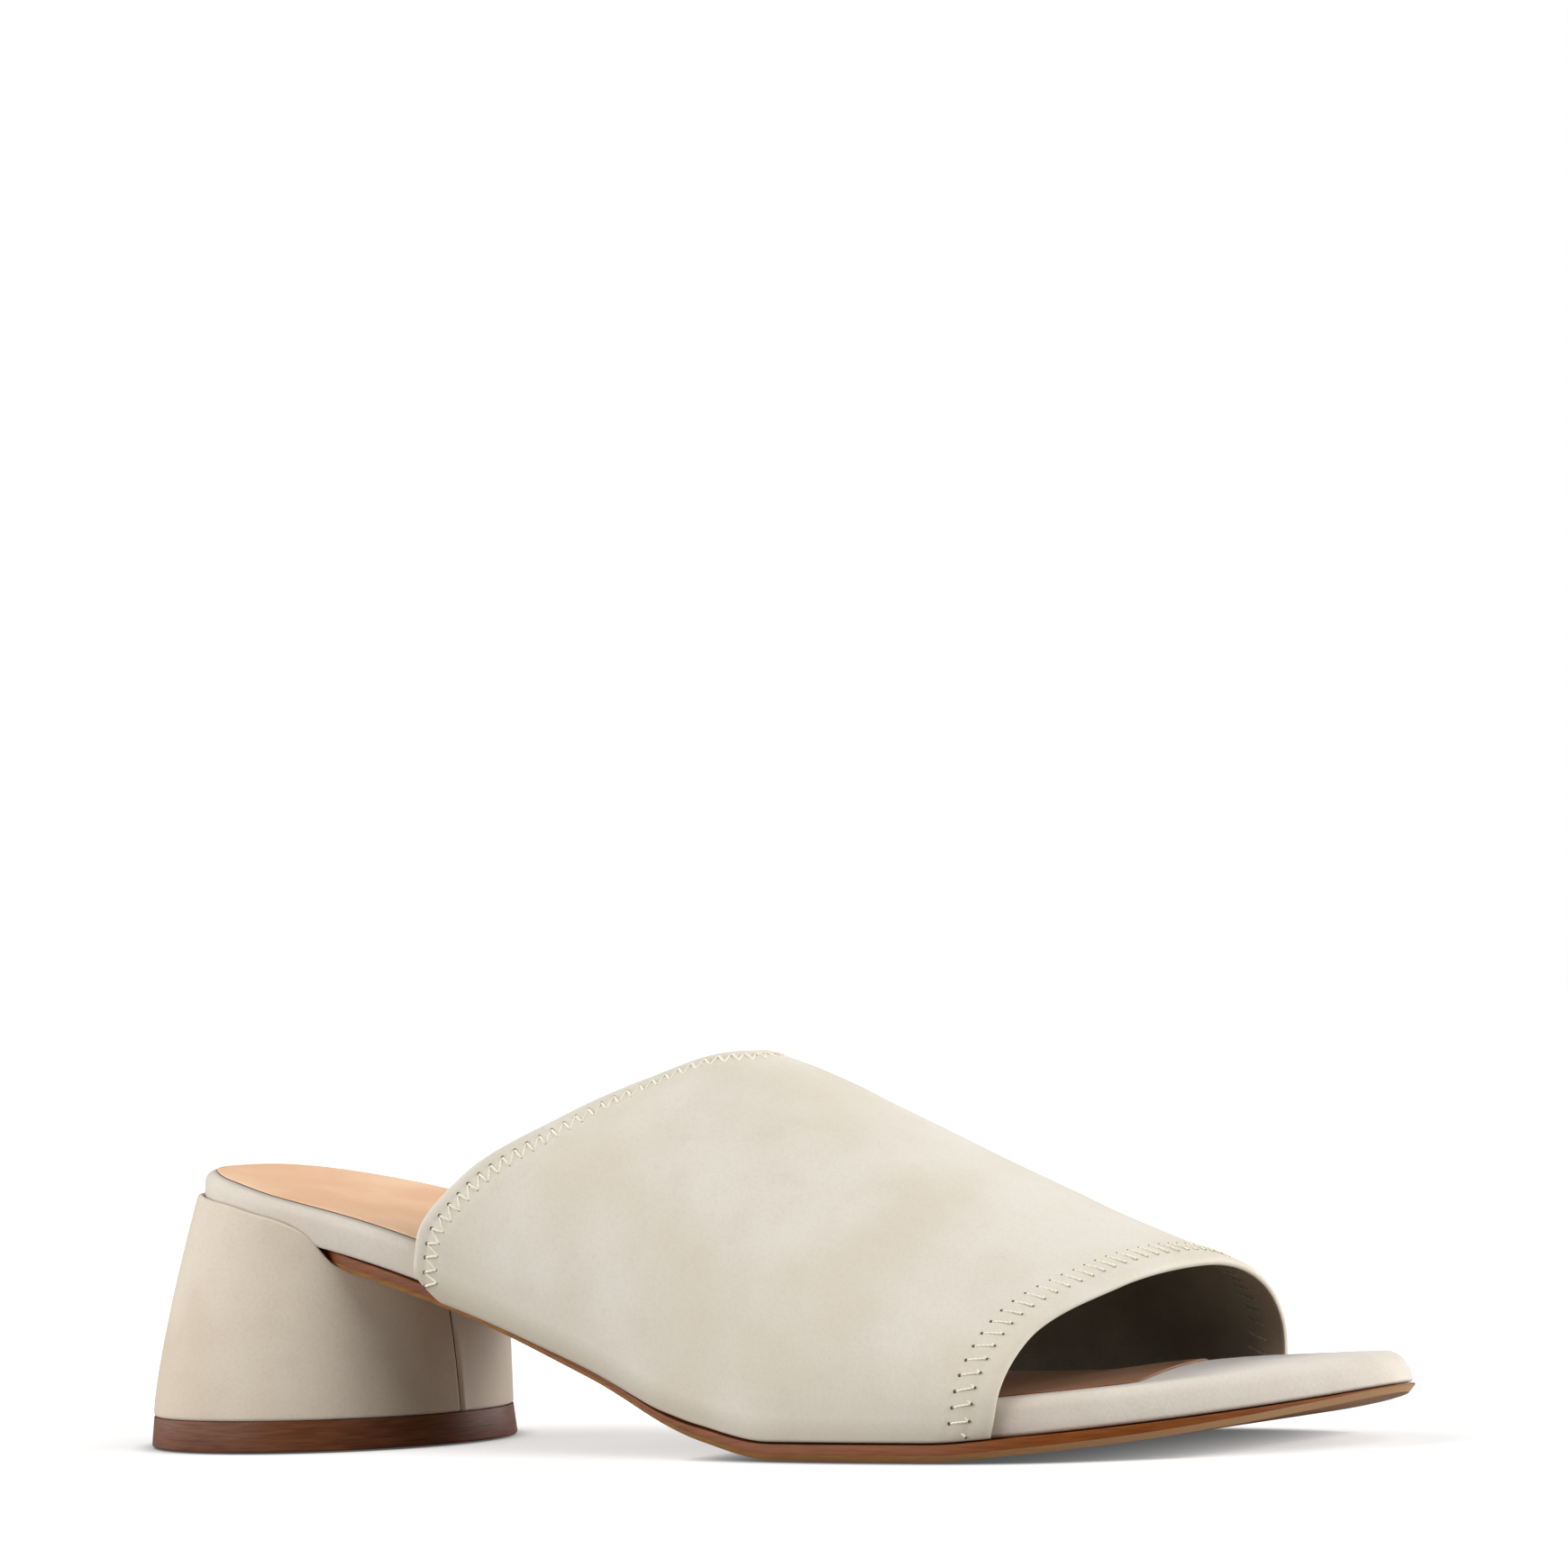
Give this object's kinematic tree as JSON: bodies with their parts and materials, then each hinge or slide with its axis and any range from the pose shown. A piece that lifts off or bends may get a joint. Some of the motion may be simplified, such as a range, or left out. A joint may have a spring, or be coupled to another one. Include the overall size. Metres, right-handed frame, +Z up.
{
  "type": "block heel mule sandal",
  "caption": "Right-foot open-toe mule: a wide leather band over the forefoot on a wrapped footbed, with a round, flared, covered block heel.",
  "frame": {"origin": "on the floor, under the centre of the shoe's bounding box", "axes": "+X to the toe, +Y to the big toe side, +Z up"},
  "size_m": [0.2462, 0.0822, 0.0681],
  "materials": {
    "stone_leather": "matt nubuck",
    "heel_cover": "matt nubuck",
    "sock_leather": "smooth, satin",
    "sole_leather": "smooth, burnished edge",
    "top_piece_rubber": "polished edge"
  },
  "bodies": {
    "root": {"outsole": "sole_leather", "footbed": "stone_leather", "insole_sock": "sock_leather", "upper": "stone_leather", "heel": "heel_cover", "top_piece": "top_piece_rubber"}
  },
  "joints": []
}
